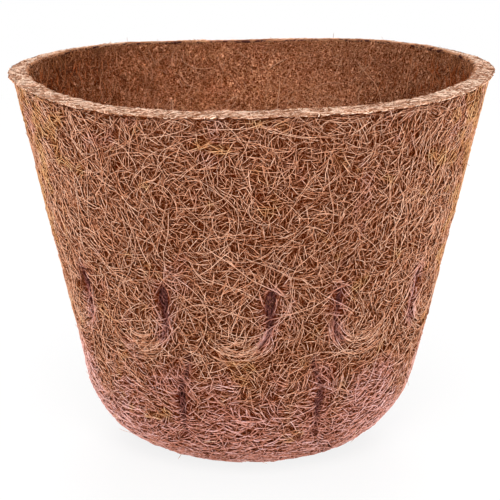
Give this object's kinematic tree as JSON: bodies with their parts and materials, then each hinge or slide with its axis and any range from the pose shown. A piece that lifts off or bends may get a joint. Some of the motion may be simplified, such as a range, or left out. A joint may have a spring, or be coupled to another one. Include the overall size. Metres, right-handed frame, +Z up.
{
  "type": "coir plant pot",
  "caption": "Tapered round plant pot pressed from coconut fibre felt, with a pale turned-out rim, slots in its wall and a rounded flat-bottomed base.",
  "frame": {"origin": "centre of the flat underside, on the pot's axis", "axes": "+Z up along the pot's axis to the rim, -Y towards the pictured side, +X to its right"},
  "size_m": [0.203, 0.203, 0.162],
  "materials": {
    "outer_wall_felt": "coarse long-fibre coir felt",
    "outer_base_felt": "coarse coir felt, pressed flatter and pinker",
    "inner_wall_felt": "fine short-fibre coir felt",
    "inner_base_felt": "fine short-fibre coir felt",
    "rim_band": "pale packed fibre ends"
  },
  "bodies": {
    "root": {"outer_wall_felt": "outer_wall_felt", "outer_base_felt": "outer_base_felt", "inner_wall_felt": "inner_wall_felt", "inner_base_felt": "inner_base_felt", "rim_band": "rim_band"}
  },
  "joints": []
}
